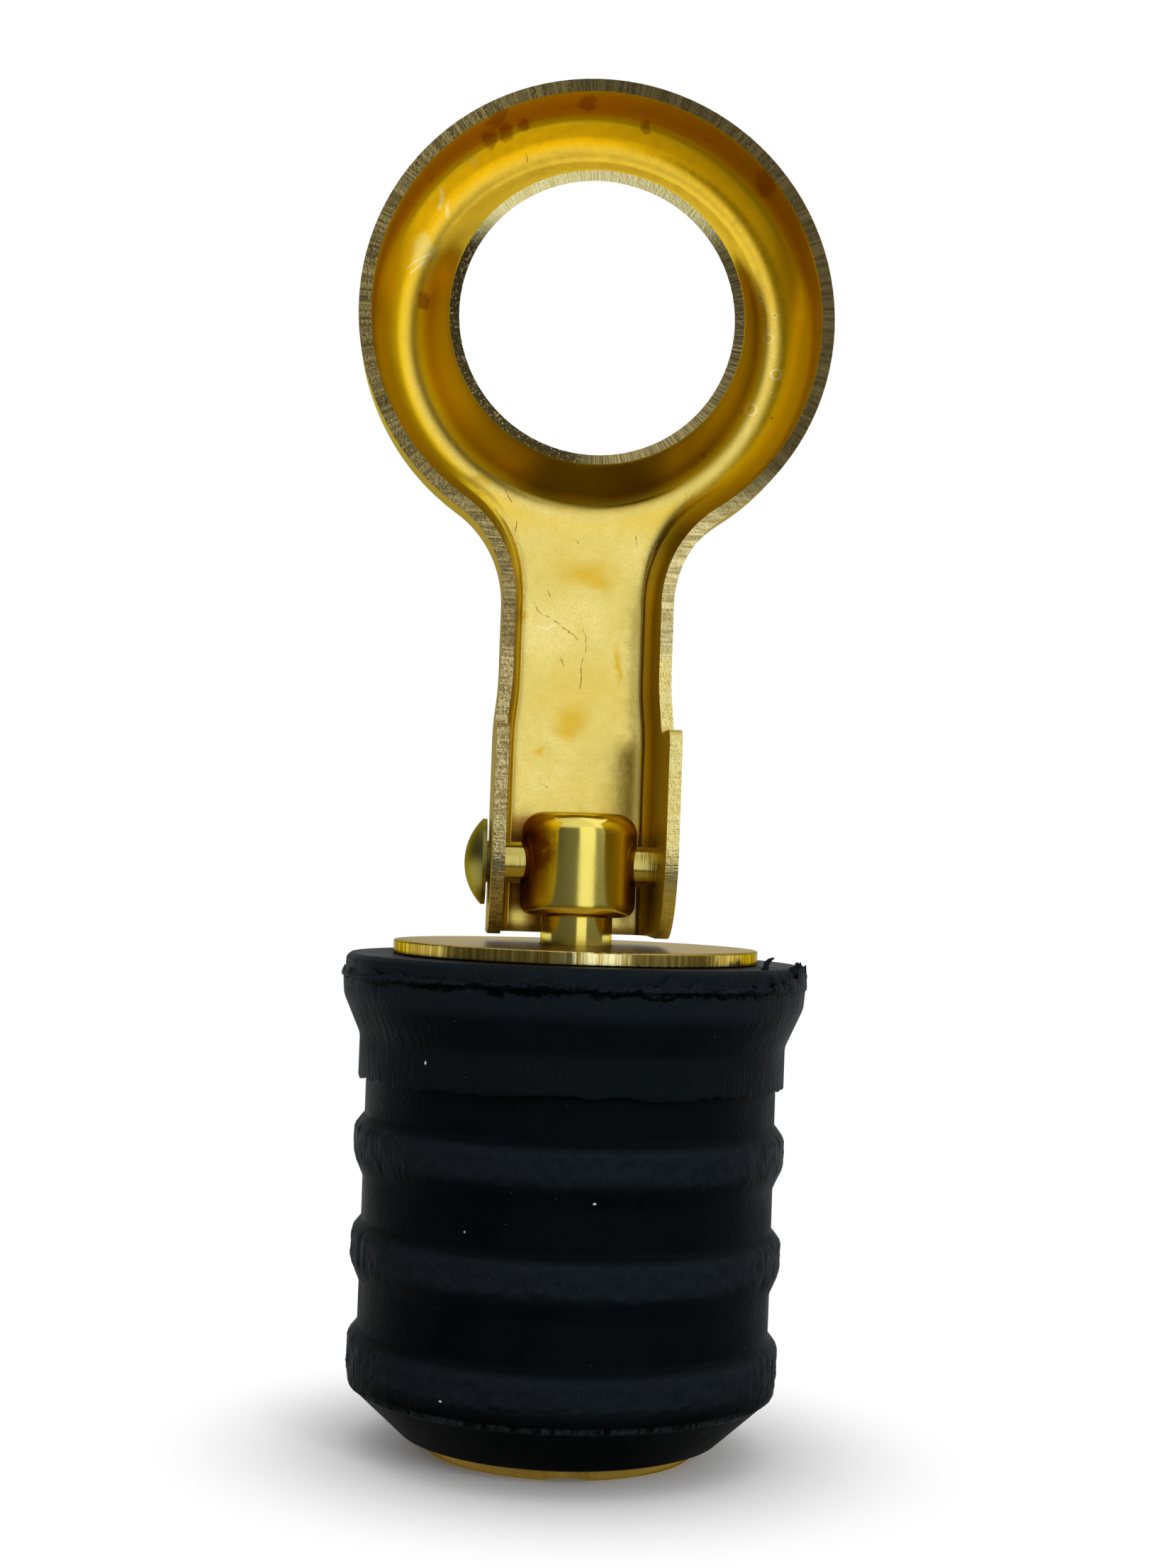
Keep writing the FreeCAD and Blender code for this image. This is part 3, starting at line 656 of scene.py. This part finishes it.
        # at the top the lip's front is rubbed round and looks forward, and the wall above it is open
        settings = {"vector_type": "NORMAL", "convert_from": "OBJECT", "convert_to": "WORLD"}
        forward = self.add("VectorTransform", {0: (0, -1, 0)}, **settings).outputs[0]
        rubbed_lip = self.both(
            self.step(self.reach, *LIP_ENDS),
            self.step(self.from_centre, *LIP_RUBBED),
            self.step(self.ny, 0.0, -0.15),
            self.inverse(self.bore),
            0.95,
        )
        open_wall = self.both(
            self.between(self.reach, *OPEN_WALL),
            self.step(self.from_centre, *WALL_OPEN),
            self.front,
            0.74,
        )
        return self.mix(self.either(rubbed_lip, open_wall), normal, forward)

    def roughness(self):
        base = self.step(self.fine, 0.3, 0.7, 0.16, 0.22)
        return self.plus(base, self.both(self.inverse(self.flat), 0.22), self.both(self.edge, 0.08))


def handle_material():
    surface = Handle()
    colour = surface.sheared(surface.marked(surface.sheet_colour()))
    normal = surface.relief(surface.height(), 1.0, under=surface.base_normal())
    return surface.finish(colour, surface.roughness(), normal=normal)


# -------------------------------------------------------------- other brass

POST_TONES = ((1.0, 0.86, 0.20), (0.90, 0.73, 0.15))
# Painted shade on the head's limbs, darker at the left
POST_LIMB_SHADE = (0.66, 0.38, 0.02)
POST_LEFT_LIMB_SHADE = (0.36, 0.19, 0.012)
POST_PATCH = (0.30, 0.12, 0.01)
POST_PATCH_SPOT = ((-3.6, -2.6, 0.9), (2.5, 2.7))
POST_HEAD_RADIUS = 4.2
# Heights above the rivet at which the head's pits start, are full, fade and end
POST_PITTED = (-3.6, -2.6, -0.2, 2.6)
# Distances to the left and right
POST_LIMB_STARTS = (2.6, 3.8)

RIVET_TONES = ((0.70, 0.61, 0.18), (0.54, 0.44, 0.10))
RIVET_HEAD = (0.36, 0.31, 0.085)
RIVET_HEAD_STARTS = (-6.35, -6.65)

WASHER_TONES = ((0.50, 0.38, 0.12), (0.36, 0.26, 0.07))
WASHER_RIM_TONES = ((0.46, 0.32, 0.06), (0.95, 0.76, 0.20))
# A painted highlight on the middle of the rim's front
WASHER_PAINTED_HIGHLIGHT = (1.0, 0.96, 0.50)
WASHER_RADIUS = 13.2

NUT_TONES = ((1.0, 0.68, 0.12), (0.80, 0.48, 0.07))
NUT_RADIUS = 9.85


def post_material():
    surface = Surface("turned_brass")
    unrolled = surface.around(POST_HEAD_RADIUS)
    lathe = surface.noise(1.0, 2.0, 0.5, stretch=(0.05, 6.0, 0.3), place=unrolled)
    pits = surface.noise(7.0, 2.0, 0.6)
    rise = surface.above_rivet()
    head = surface.between(rise, *POST_PITTED)
    height = surface.plus(surface.both(lathe, 0.05), surface.both(pits, head, 0.14))
    # painted shade darkens the head's limbs, more at the left, and a tarnish patch lies at the left of
    # the head
    tone = surface.mix(surface.noise(0.5, 3.0, 0.6), *POST_TONES)
    limb = surface.step(surface.absolute(surface.x), *POST_LIMB_STARTS)
    tone = surface.mix(surface.both(limb, 0.8), tone, POST_LIMB_SHADE)
    left_side = surface.step(surface.x, -1.9, -3.0)
    left_limb = surface.both(left_side, surface.step(rise, -3.4, -1.5), 0.65)
    tone = surface.mix(left_limb, tone, POST_LEFT_LIMB_SHADE)
    patch = surface.blob(surface.raised, *POST_PATCH_SPOT, 0.6)
    patch = surface.both(patch, surface.step(surface.noise(1.2, 3.0, 0.6), 0.20, 0.55))
    tone = surface.mix(patch, tone, POST_PATCH)
    rough = surface.step(head, 0.0, 1.0, 0.13, 0.19)
    return surface.finish(tone, rough, normal=surface.relief(height, 0.03))


def rivet_material():
    surface = Surface("rivet_brass_worn")
    rings = surface.noise(1.0, 2.0, 0.6, stretch=(5.0, 0.3, 0.3))
    tone = surface.mix(surface.noise(0.8, 3.0, 0.6), *RIVET_TONES)
    head = surface.step(surface.x, *RIVET_HEAD_STARTS)
    tone = surface.mix(head, tone, RIVET_HEAD)
    rough = surface.step(head, 0.0, 1.0, 0.17, 0.34)
    return surface.finish(tone, rough, normal=surface.relief(rings, 0.012))


def washer_material():
    surface = Surface("washer_brass_bright")
    rim = surface.step(surface.absolute(surface.nz), 0.6, 0.3)
    unrolled = surface.around(WASHER_RADIUS)
    bars = surface.noise(1.0, 2.0, 0.6, stretch=(3.2, 0.12, 0.1), place=unrolled)
    wipe = surface.noise(0.9, 3.0, 0.6, stretch=(0.3, 3.0, 1.0))
    side = surface.mix(surface.step(bars, 0.40, 0.75), *WASHER_RIM_TONES)
    # a painted highlight on the middle of the rim's front
    middle = surface.step(surface.absolute(surface.math("SUBTRACT", surface.x, 0.5)), 3.0, 1.2)
    ahead = surface.step(surface.ny, -0.5, -0.8)
    painted_highlight = surface.both(middle, ahead, surface.step(bars, 0.35, 0.60))
    side = surface.mix(painted_highlight, side, WASHER_PAINTED_HIGHLIGHT)
    colour = surface.mix(rim, surface.mix(wipe, *WASHER_TONES), side)
    height = surface.plus(surface.both(wipe, 0.1), surface.both(rim, bars))
    rough = surface.step(rim, 0.0, 1.0, 0.28, 0.17)
    return surface.finish(colour, rough, normal=surface.relief(height, 0.015))


def nut_material():
    surface = Surface("nut_brass_dull")
    unrolled = surface.around(NUT_RADIUS)
    bars = surface.noise(1.0, 2.0, 0.6, stretch=(2.4, 0.3, 0.3), place=unrolled)
    return surface.finish(surface.mix(bars, *NUT_TONES), 0.30, normal=surface.relief(bars, 0.05))


# --------------------------------------------------------- rubber: material

# Pale specks: (x, y, height above the rivet), (half width, half height)
SPECKS = (
    ((0.85, -14.8, -22.3), (0.16, 0.12)), ((-7.6, -12.8, -24.7), (0.09, 0.10)),
    ((-10.6, -11.1, -13.7), (0.09, 0.16)), ((-8.8, -12.8, -35.9), (0.13, 0.10)),
)
BLACK_TONES = ((0.0004, 0.0014, 0.0019), (0.0018, 0.0040, 0.0050))
# Dust and painted sheen on the crests, and a painted highlight on the bulge under the lip
DUST_AND_SHEEN_TONES = ((0.0032, 0.0054, 0.0076), (0.0100, 0.0140, 0.0180))
FOOT_PAINTED_SHADE = (0.0004, 0.0010, 0.0010)
FOOT_LEDGE = (0.012, 0.015, 0.015)
FLASH_SHADE = (0.0002, 0.0006, 0.0006)
SPECK = (0.55, 0.57, 0.55)
DOT = (0.08, 0.09, 0.09)
RUBBER_SPECULAR = 0.035
RUBBER_RADIUS = 15.5
# Heights at which a form starts, is full, fades and ends
LEDGE_HEIGHT = (4.30, 4.45, 4.70, 4.90)
BAND_HEIGHT = (26.0, 26.3, 29.2, 29.8)
BULGE_HEIGHT = (30.9, 32.2, 33.2, 33.6)
SHADE_HEIGHT = (33.05, 33.25, 33.46, 33.62)
FOOT_DARKENS = (6.4, 4.9)


def rubber_material():
    surface = Surface("moulded_rubber")
    unrolled = surface.around(RUBBER_RADIUS)
    fine = surface.noise(2.4, 3.0, 0.65)
    streak = surface.noise(1.0, 2.0, 0.6, stretch=(2.6, 0.5, 0.4), place=unrolled)
    cloud = surface.noise(0.22, 3.0, 0.6)
    # dust, partly painted sheen, lies on the upward crests of the ribs, less on the band; the bulge
    # under the lip gets the same tones as a painted highlight
    crest = surface.step(surface.from_axis(), 15.0, 15.5)
    upward = surface.step(surface.nz, -0.50, 0.12)
    below_top = surface.step(surface.z, 34.0, 33.5, 0.85, 1.0)
    band = surface.between(surface.z, *BAND_HEIGHT)
    dust_and_sheen = surface.both(crest, upward, below_top, surface.step(band, 0.0, 1.0, 1.0, 0.45))
    bulge = surface.both(surface.between(surface.z, *BULGE_HEIGHT), 0.75)
    black = surface.mix(cloud, *BLACK_TONES)
    colour = surface.mix(surface.either(dust_and_sheen, bulge), black, surface.mix(fine, *DUST_AND_SHEEN_TONES))
    # painted shade: the foot darkens towards the bottom
    low = surface.both(surface.step(surface.z, *FOOT_DARKENS), 0.92)
    colour = surface.mix(low, colour, FOOT_PAINTED_SHADE)
    ledge = surface.between(surface.z, *LEDGE_HEIGHT)
    colour = surface.mix(surface.both(ledge, surface.step(streak, 0.35, 0.65)), colour, FOOT_LEDGE)
    # a ragged line of shade along the flash of the lip
    ragged = surface.noise(0.55, 5.0, 0.75, place=unrolled)
    ragged = surface.math("MULTIPLY_ADD", ragged, 2.4, surface.math("SUBTRACT", surface.z, 1.2))
    near_lip = surface.step(surface.z, 32.3, 32.8)
    shade = surface.both(surface.between(ragged, *SHADE_HEIGHT), near_lip, 0.95)
    colour = surface.mix(shade, colour, FLASH_SHADE)
    colour = surface.mix(surface.spots(surface.raised, SPECKS, 0.5), colour, SPECK)
    cells = surface.add("TexVoronoi", {"Vector": surface.place, "Scale": 0.62, "Randomness": 1.0})
    dots = surface.step(cells.outputs["Distance"], 0.040, 0.025, 0.0, 0.35)
    colour = surface.mix(dots, colour, DOT)
    height = surface.plus(fine, surface.both(streak, crest, 2.0))
    rough = surface.step(cloud, 0.3, 0.7, 0.48, 0.60)
    normal = surface.relief(height, 0.05)
    return surface.finish(colour, rough, metal=0.0, normal=normal, specular=RUBBER_SPECULAR)


# ------------------------------------------------------------ rubber: shape

COLUMNS = 448
SPACING = 0.26
SEED = 7
RIB_SIDE = 14.8
RIB_CREST = 15.5
UPPER_RIB_HEIGHTS = (13.95, 21.4)
# An upper rib, as (radius, height from its middle, round)
RIB_CORNERS = (
    (RIB_SIDE, -2.3, 0.8), (RIB_CREST, -0.7, 2.2), (RIB_CREST, 1.3, 0.6), (RIB_SIDE, 2.15, 0.12),
)
BAND_RADIUS = 15.37
BAND_FOOT = 26.45
LIP_HEIGHT = 33.58
# Depths of the flaws of the moulding
WAVINESS = 0.05
FINE_CREST = 0.10
COARSE_CREST = 0.08
WRINKLES = 0.12
BAND_RAGS = 0.55
LIP_RAGS = 0.7
LIP_NICKS = 0.26
# No shape goes past this radius, so that the rubber stays inside the box of the solids
LARGEST_RADIUS = 16.84

# The outline with the lowest rib, and from the band to the top, as (radius, height, round). The
# upper ribs go in between.
FOOT_CORNERS = [
    (11.2, RUBBER_FOOT, 0), (11.6, 1.15, 0.3), (15.00, 4.30, 0.2), (15.30, 4.50, 0.08),
    (15.34, 4.68, 0.08), (RIB_CREST, 6.0, 2.0), (RIB_CREST, 7.75, 0.6), (RIB_SIDE, 8.6, 0.12),
]
TOP_CORNERS = [
    (RIB_SIDE, 26.35, 0.1), (BAND_RADIUS, 26.4, 0.12), (BAND_RADIUS, 29.2, 1.4), (16.60, 32.0, 1.6),
    (16.70, 33.2, 0.2), (16.83, 33.5, 0.05), (16.83, 33.65, 0.05), (16.58, 33.85, 0.1),
    (16.52, 34.7, 0.3), (16.2, RUBBER_TOP, 0.2), (14.4, RUBBER_TOP, 0),
]
# The top face and the bore, as (radius, height)
INNER = (
    (13.0, RUBBER_TOP), (6.0, RUBBER_TOP), (3.0, RUBBER_TOP), (2.9, 34.9), (2.9, 7.05), (4.05, 6.95),
    (4.05, 1.1), (4.15, RUBBER_FOOT), (8.0, RUBBER_FOOT),
)
# The torn fin of flash, as (radius, height, share of the tear's height)
FIN = (
    (16.60, 33.45, 0.0), (16.83, 33.40, 0.0), (16.83, 33.62, 0.0), (16.80, 33.55, 1.0),
    (16.68, 33.50, 1.0), (16.58, 33.70, 0.0),
)
# Where the fin stands higher: share, turn from the front and half width in radians
FIN_TEARS = ((1.0, 0.36, 0.13), (2.7, 1.22, 0.25), (0.5, -0.95, 0.12), (0.5, 2.6, 0.4))
# Crumbs of torn flash: turn from the front, height, half width and half height
CRUMBS = (
    (1.27, 34.75, 0.66, 0.62), (1.40, 34.30, 0.46, 0.55), (1.15, 34.70, 0.60, 0.45),
    (1.02, 34.10, 0.70, 0.40), (0.90, 34.20, 0.45, 0.50), (0.78, 33.95, 0.60, 0.30),
    (0.40, 34.00, 0.75, 0.36), (0.28, 33.95, 0.45, 0.28),
)
# A curl of flash that stands up at the right of the washer: its middle line and its half width
CURL = (
    ((12.40, -9.3, 34.7), 0.30), ((12.60, -9.2, 35.15), 0.22), ((12.70, -9.0, 35.45), 0.17),
    ((12.90, -8.9, 35.70), 0.13), ((13.20, -8.8, 35.82), 0.07),
)
CRUMB_SIDES = 14
CRUMB_LEVELS = 8
CRUMB_RADIUS = 16.35
CRUMB_THICKNESS = 0.45
# The radius at which a crumb's width is turned into an angle
CRUMB_ARC_RADIUS = 16.4
# No crumb goes past this radius
CRUMB_LIMIT = 16.82


def rounded_line(corners, spacing):
    """Points along a line whose corners (radius, height, round) are rounded."""
    points = []
    for index, (r, z, bend) in enumerate(corners):
        here = np.array([r, z], float)
        if bend <= 0 or index in (0, len(corners) - 1):
            points.append(here)
            continue
        before = np.array(corners[index - 1][:2], float) - here
        after = np.array(corners[index + 1][:2], float) - here
        reach_before, reach_after = np.linalg.norm(before), np.linalg.norm(after)
        before, after = before / reach_before, after / reach_after
        half = math.acos(np.clip(before @ after, -1, 1)) / 2
        run = min(bend / math.tan(half), 0.49 * reach_before, 0.49 * reach_after)
        bend = run * math.tan(half)
        centre = here + (before + after) / np.linalg.norm(before + after) * bend / math.sin(half)
        first, last = here + before * run - centre, here + after * run - centre
        start, end = math.atan2(first[1], first[0]), math.atan2(last[1], last[0])
        swing = (end - start + math.pi) % (2 * math.pi) - math.pi
        steps = max(2, int(abs(swing) * bend / spacing) + 1)
        for k in range(steps + 1):
            angle = start + swing * k / steps
            points.append(centre + bend * np.array([math.cos(angle), math.sin(angle)]))
    dense = [points[0]]
    for point in points[1:]:
        base = dense[-1]
        span = point - base
        parts = max(1, round(np.linalg.norm(span) / spacing))
        for k in range(1, parts + 1):
            dense.append(base + span * k / parts)
    return np.array(dense)


def lattice(rng, rows, columns, tall, wide):
    """Smooth noise from 0 to 1 on a grid that closes round the part. tall and wide count its cells."""
    cells = rng.random((tall + 2, wide))
    down = np.linspace(0, tall, rows)
    across = np.linspace(0, wide, columns, endpoint=False)
    i, j = down.astype(int), across.astype(int)
    u, v = down - i, across - j
    u, v = (u * u * (3 - 2 * u))[:, None], (v * v * (3 - 2 * v))[None, :]
    a = cells[np.ix_(i, j)]
    b = cells[np.ix_(i, (j + 1) % wide)]
    c = cells[np.ix_(i + 1, j)]
    d = cells[np.ix_(i + 1, (j + 1) % wide)]
    return (a * (1 - v) + b * v) * (1 - u) + (c * (1 - v) + d * v) * u


def fringe(rng, cells):
    """Smooth noise from 0 to 1 round the part."""
    return lattice(rng, 2, COLUMNS, 1, cells)[0]


def near(turn, centre, width):
    """A soft hill round one turn."""
    return np.exp(-(((turn - centre + math.pi) % (2 * math.pi) - math.pi) / width) ** 2)


def circle(turn, r, z):
    """Points at the radius r and the height z. Turn is 0 at the front, which looks along -Y."""
    return np.stack([r * np.sin(turn), -r * np.cos(turn), z + np.zeros_like(turn)], axis=-1)


def grid_faces(rows, columns, first, closed):
    """Faces of a grid that closes round the part, and also from its last row to its first if closed."""
    faces = []
    for row in range(rows if closed else rows - 1):
        after = (row + 1) % rows
        for k in range(columns):
            m = (k + 1) % columns
            corners = (row * columns + k, row * columns + m, after * columns + m, after * columns + k)
            faces.append(tuple(first + corner for corner in corners))
    return faces


def rubber_outline():
    corners = list(FOOT_CORNERS)
    for centre in UPPER_RIB_HEIGHTS:
        corners += [(radius, centre + height, bend) for radius, height, bend in RIB_CORNERS]
    return rounded_line(corners + TOP_CORNERS, SPACING)


def rubber_outside(rng, turn):
    """The outside with its flaws, as rows of points."""
    line = rubber_outline()
    rows = len(line)
    radius, level = line[:, :1], line[:, 1:]
    r = np.repeat(radius, COLUMNS, axis=1)
    z = np.repeat(level, COLUMNS, axis=1)

    # broad waviness of the moulding and rough crests
    r += WAVINESS * (lattice(rng, rows, COLUMNS, 9, 14) - 0.5)
    crest = np.clip((radius - 15.1) / 0.4, 0, 1) * (level < 25)
    r += crest * FINE_CREST * (lattice(rng, rows, COLUMNS, rows, 220) - 0.6)
    r += crest * COARSE_CREST * (lattice(rng, rows, COLUMNS, rows // 3, 110) - 0.5)

    # upright wrinkles over the ribs, strongest at the sides
    wrinkle = lattice(rng, rows, COLUMNS, rows // 12, 150)
    beside = 0.35 + 0.65 * np.abs(np.sin(turn)) ** 4
    r -= crest * beside * WRINKLES * np.clip(wrinkle - 0.62, 0, 1) / 0.38

    # ragged foot of the band
    foot = np.exp(-((level - BAND_FOOT) / 0.35) ** 2) * (radius > 14.9)
    wave = fringe(rng, 40) * 0.6 + fringe(rng, 150) * 0.4
    z -= foot * BAND_RAGS * (wave - 0.35)

    # ragged flash round the lip, torn at the right of the front and smaller at the left
    flash = np.exp(-((level - LIP_HEIGHT) / 0.24) ** 2) * (radius > 16.3)
    tear = fringe(rng, 60) * 0.5 + fringe(rng, 210) * 0.5
    coarse = fringe(rng, 34)
    torn_side = near(turn, 0.42, 0.16) + near(turn, 1.30, 0.28)
    whole_side = near(turn, -1.5, 0.5)
    z += flash * (LIP_RAGS * (tear - 0.5) + (0.25 + 0.7 * torn_side) * np.clip(coarse - 0.30, 0, 1))
    r += flash * (LIP_NICKS * (tear - 0.78) - 0.16 * whole_side)
    return circle(turn, np.minimum(r, LARGEST_RADIUS), z)


def torn_fin(rng, turn, first):
    """A thin ragged fin of flash round the lip: its points and faces, whose numbers start at first."""
    coarse = fringe(rng, 96)
    sharp = rng.random(COLUMNS)
    torn = sum(share * near(turn, centre, width) for share, centre, width in FIN_TEARS)
    tall = 0.05 + 0.45 * coarse * coarse + 0.10 * sharp
    tall += torn * (0.25 + 0.75 * coarse) * (0.55 + 0.45 * sharp)
    lean = 0.10 * coarse
    rows = [circle(turn, radius - share * lean, level + share * tall) for radius, level, share in FIN]
    return np.concatenate(rows), grid_faces(len(FIN), COLUMNS, first, closed=True)


def crumbs(rng, first):
    """Torn crumbs and a curl of flash: their points and faces, whose numbers start at first."""
    sides = CRUMB_SIDES
    points, faces = [], []

    def close(base, rows):
        faces.extend(grid_faces(rows, sides, base, closed=False))
        faces.append(tuple(base + k for k in reversed(range(sides))))
        faces.append(tuple(base + (rows - 1) * sides + k for k in range(sides)))

    for turn, height, wide, tall in CRUMBS:
        base = first + len(points)
        for row in range(CRUMB_LEVELS):
            polar = math.pi * (row + 0.5) / CRUMB_LEVELS
            for k in range(sides):
                swing = 2 * math.pi * k / sides
                rough = 0.65 + 0.55 * rng.random()
                out = rough * math.sin(polar)
                side = turn + out * wide * math.cos(swing) / CRUMB_ARC_RADIUS
                r = min(CRUMB_RADIUS + out * CRUMB_THICKNESS * math.sin(swing), CRUMB_LIMIT)
                z = height - rough * tall * math.cos(polar)
                points.append((r * math.sin(side), -r * math.cos(side), z))
        close(base, CRUMB_LEVELS)
    base = first + len(points)
    for (x, y, z), half in CURL:
        for k in range(sides):
            swing = 2 * math.pi * k / sides
            rough = half * (0.8 + 0.4 * rng.random())
            across, along = rough * math.cos(swing), rough * math.sin(swing)
            points.append((x + across, y + 0.6 * along, z - 0.5 * across))
    close(base, len(CURL))
    return np.array(points), faces


def make_rubber():
    rng = np.random.default_rng(SEED)
    turn = np.linspace(0, 2 * math.pi, COLUMNS, endpoint=False)
    outside = rubber_outside(rng, turn)
    inside = [circle(turn, radius, height) for radius, height in INNER]
    points = np.concatenate([outside.reshape(-1, 3)] + inside)
    faces = grid_faces(len(outside) + len(INNER), COLUMNS, 0, closed=True)
    fin_points, fin_faces = torn_fin(rng, turn, len(points))
    points = np.concatenate([points, fin_points])
    crumb_points, crumb_faces = crumbs(rng, len(points))
    points = np.concatenate([points, crumb_points])
    faces += fin_faces + crumb_faces
    mesh = bpy.data.meshes.new("rubber")
    mesh.from_pydata((points * MM).tolist(), [], faces)
    mesh.polygons.foreach_set("use_smooth", [True] * len(mesh.polygons))
    mesh.materials.append(rubber_material())
    rubber = bpy.data.objects.new("rubber", mesh)
    bpy.context.scene.collection.objects.link(rubber)
    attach(rubber, "plug")
    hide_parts("rubber_body")
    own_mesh(rubber)


# --------------------------------------------------------------------- make

bpy.context.scene.view_settings.view_transform = "Standard"

make_camera()
make_world()
make_floor()
make_key_lamp()

for name, build in (
    ("cam_handle", handle_material),
    ("draw_post", post_material),
    ("pivot_rivet", rivet_material),
    ("top_washer", washer_material),
    ("tee_nut", nut_material),
):
    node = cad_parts[name]
    node.data.materials.clear()
    node.data.materials.append(build())

make_rubber()
